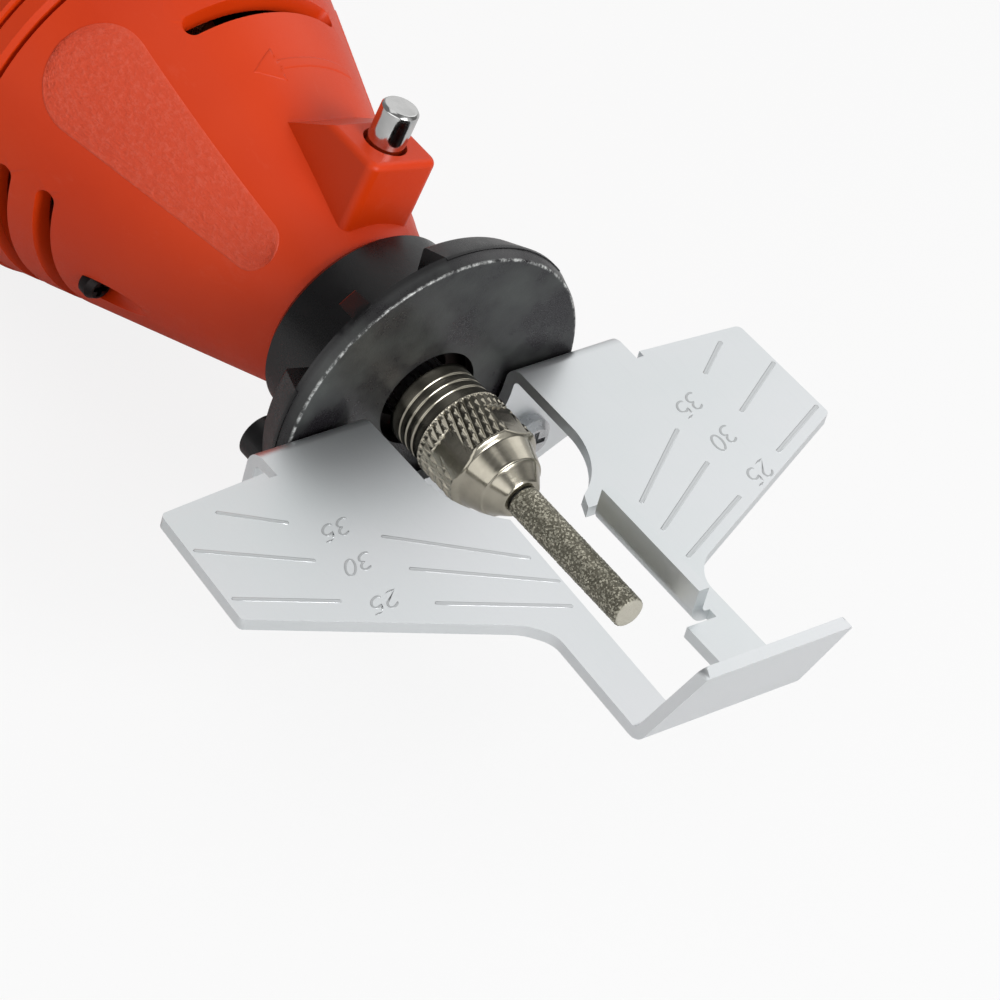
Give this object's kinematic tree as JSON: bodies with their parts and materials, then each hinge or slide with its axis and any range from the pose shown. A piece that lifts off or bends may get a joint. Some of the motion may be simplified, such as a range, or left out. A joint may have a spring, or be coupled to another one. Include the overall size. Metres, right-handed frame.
{
  "type": "electric chainsaw sharpener",
  "caption": "Handheld electric chainsaw sharpener: orange cone-nosed motor housing, spindle lock, diamond burr in a collet, and a folded angle guide plate on a black swivel holder.",
  "frame": {"origin": "centre of the collet mouth, on the spindle axis", "axes": "+X runs out along the burr, away from the housing; +Z is the normal of the guide plate's upper face; +Y completes the right-handed set. The housing is rolled 12.5 degrees about X against the guide, as the holder can turn on the nose."},
  "size_m": [0.2273, 0.0852, 0.0588],
  "materials": {
    "orange_housing": "satin moulded nylon, fine spark texture on the grip pads",
    "black_plastic": "satin moulded nylon",
    "zinc_plate": "clear zinc plate on stamped steel, bright sheared edges",
    "zinc_screw": "zinc plated",
    "diamond_grit": "nickel-bonded diamond grit on a ground steel shank",
    "spring_steel": "oil-dark spring steel",
    "dark_nickel": "dark nickel with polished cone faces",
    "ground_steel": "ground",
    "bright_chrome": "bright chrome sides, worn matte end",
    "laminated_steel": "stacked varnished laminations",
    "copper_winding": "enamelled copper wire",
    "copper_bars": "turned copper",
    "carbon": "pressed carbon",
    "brass_holder": "drawn brass",
    "switch_key": "semi-gloss moulded key",
    "black_rubber": "moulded rubber",
    "capacitor_case": "moulded case"
  },
  "bodies": {
    "housing": {"nose_housing": "orange_housing", "motor_housing": "orange_housing", "rear_cap": "black_plastic", "lock_bush": "ground_steel", "lock_spring": "spring_steel", "bearing_retainer": "black_plastic", "front_bearing_outer": "ground_steel", "rear_bearing_outer": "ground_steel", "stator_core": "laminated_steel", "stator_coils": "copper_winding", "carbon_brushes": "carbon", "brush_holders": "brass_holder", "brush_springs": "spring_steel", "brush_caps": "black_plastic", "nose_screws": "zinc_screw", "cap_screws": "zinc_screw", "switch_body": "black_plastic", "cord_grommet": "black_rubber", "capacitor": "capacitor_case"},
    "rotor": {"spindle": "ground_steel", "lock_ring": "ground_steel", "front_bearing_inner": "ground_steel", "rear_bearing_inner": "ground_steel", "cooling_fan": "black_plastic", "rotor_core": "laminated_steel", "rotor_winding": "copper_winding", "commutator": "copper_bars", "collet": "spring_steel"},
    "nut": {"collet_nut": "dark_nickel"},
    "bit": {"burr": "diamond_grit"},
    "pin": {"lock_pin": "bright_chrome"},
    "guide": {"guide_holder": "black_plastic", "guide_plate": "zinc_plate", "guide_screws": "zinc_screw"},
    "rocker": {"switch_rocker": "switch_key"}
  },
  "joints": [
    {"name": "spindle_spin", "type": "hinge", "parent": "housing", "child": "rotor", "pos_m": [-0.05, 0, 0], "axis": [1, 0, 0], "continuous": true},
    {"name": "collet_nut_turn", "type": "hinge", "parent": "rotor", "child": "nut", "pos_m": [-0.009, 0, 0], "axis": [1, 0, 0], "range_deg": [0, 360]},
    {"name": "burr_slide", "type": "slide", "parent": "rotor", "child": "bit", "axis": [1, 0, 0], "range_m": [0, 0.012]},
    {"name": "lock_pin_press", "type": "slide", "parent": "housing", "child": "pin", "axis": [0, -0.2164, -0.9763], "range_m": [0, 0.0028], "stiffness_N_per_m": 800, "springref_m": -0.002, "deforming": ["lock_spring"]},
    {"name": "guide_swivel", "type": "hinge", "parent": "housing", "child": "guide", "pos_m": [-0.027, 0, 0], "axis": [1, 0, 0], "range_deg": [-90, 90]},
    {"name": "switch_rock", "type": "hinge", "parent": "housing", "child": "rocker", "pos_m": [-0.168, 0.00552, 0.0249], "axis": [0, -0.9763, 0.2164], "range_deg": [0, 22]}
  ]
}
